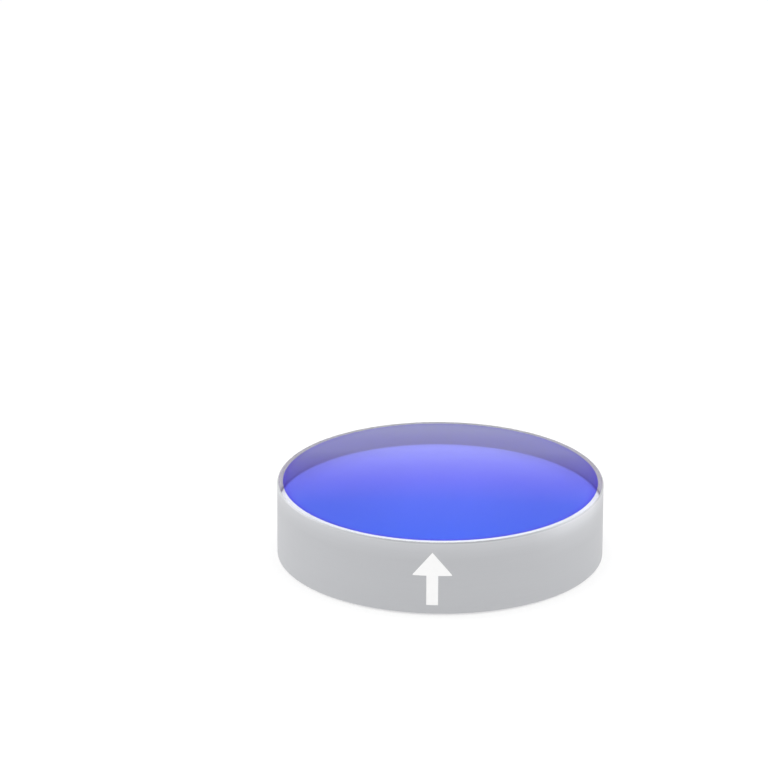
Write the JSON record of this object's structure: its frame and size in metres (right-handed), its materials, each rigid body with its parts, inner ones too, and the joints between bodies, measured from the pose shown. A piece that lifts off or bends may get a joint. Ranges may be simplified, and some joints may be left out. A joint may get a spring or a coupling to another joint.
{
  "type": "laser mirror",
  "caption": "Round glass mirror for ultrashort laser pulses: a thin reflecting coating on the polished front, a bare rim round it, a ground edge and back, and small bevels.",
  "frame": {"origin": "centre of the back face, on the optical axis", "axes": "+Z along the optical axis, out of the coated front face; -Y towards the place of the arrow mark on the barrel"},
  "size_m": [0.0254, 0.0254, 0.006],
  "materials": {
    "fused_silica": "clear glass, polished on the front face, fine ground and matt light grey on the barrel, bevels and back",
    "dielectric_coating": "optically smooth stack of reflecting layers, blue to violet, partly see-through"
  },
  "bodies": {
    "root": {"substrate": "fused_silica", "reflective_coating": "dielectric_coating"}
  },
  "joints": []
}
